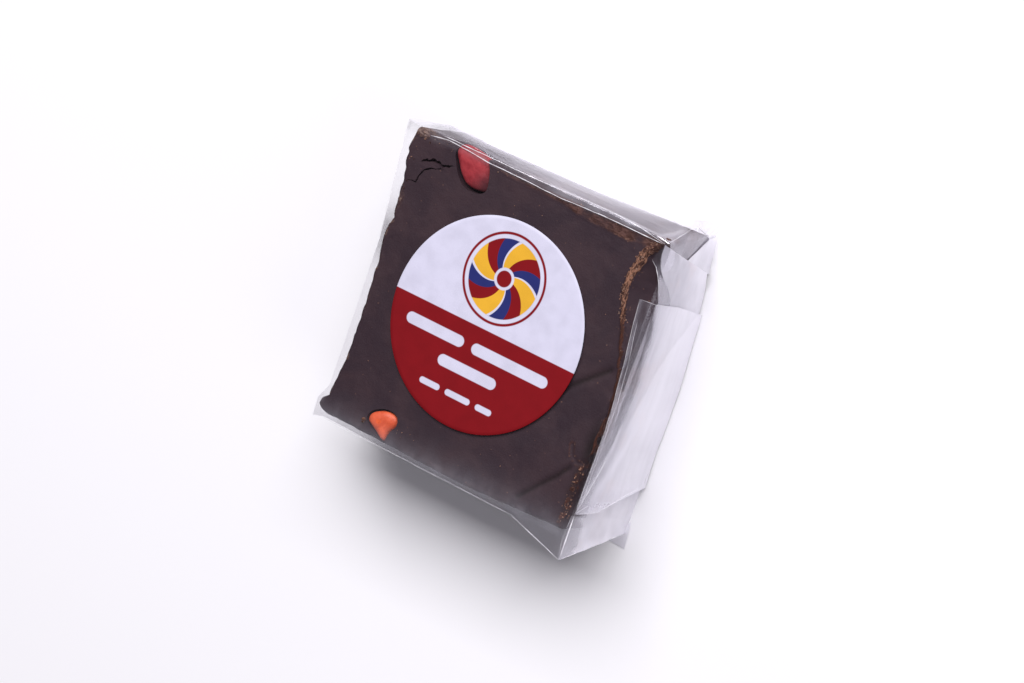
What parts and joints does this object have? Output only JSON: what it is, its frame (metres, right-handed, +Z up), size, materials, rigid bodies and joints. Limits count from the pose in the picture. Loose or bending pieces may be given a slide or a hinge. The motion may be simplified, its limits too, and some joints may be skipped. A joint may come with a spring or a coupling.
{
  "type": "wrapped chocolate fudge square",
  "caption": "Square of dark chocolate fudge with candy-coated chips, in clear folded film with a round sticker.",
  "frame": {"origin": "on the resting surface, under the middle of the slab", "axes": "+X along the sticker's lines, +Y towards the sticker's top, +Z up out of the labelled face"},
  "size_m": [0.0692, 0.0736, 0.025],
  "materials": {
    "fudge": "dense dark chocolate fudge, dull where cut and crumbly golden brown along the broken edge",
    "red_shell": "soft satin red sugar shell",
    "orange_shell": "soft satin orange sugar shell",
    "clear_film": "clear glossy food film, folded and lightly creased",
    "sticker": null
  },
  "bodies": {
    "root": {"fudge": "fudge", "candy_red": "red_shell", "candy_orange": "orange_shell", "film_wrap": "clear_film", "label": "sticker"}
  },
  "joints": []
}
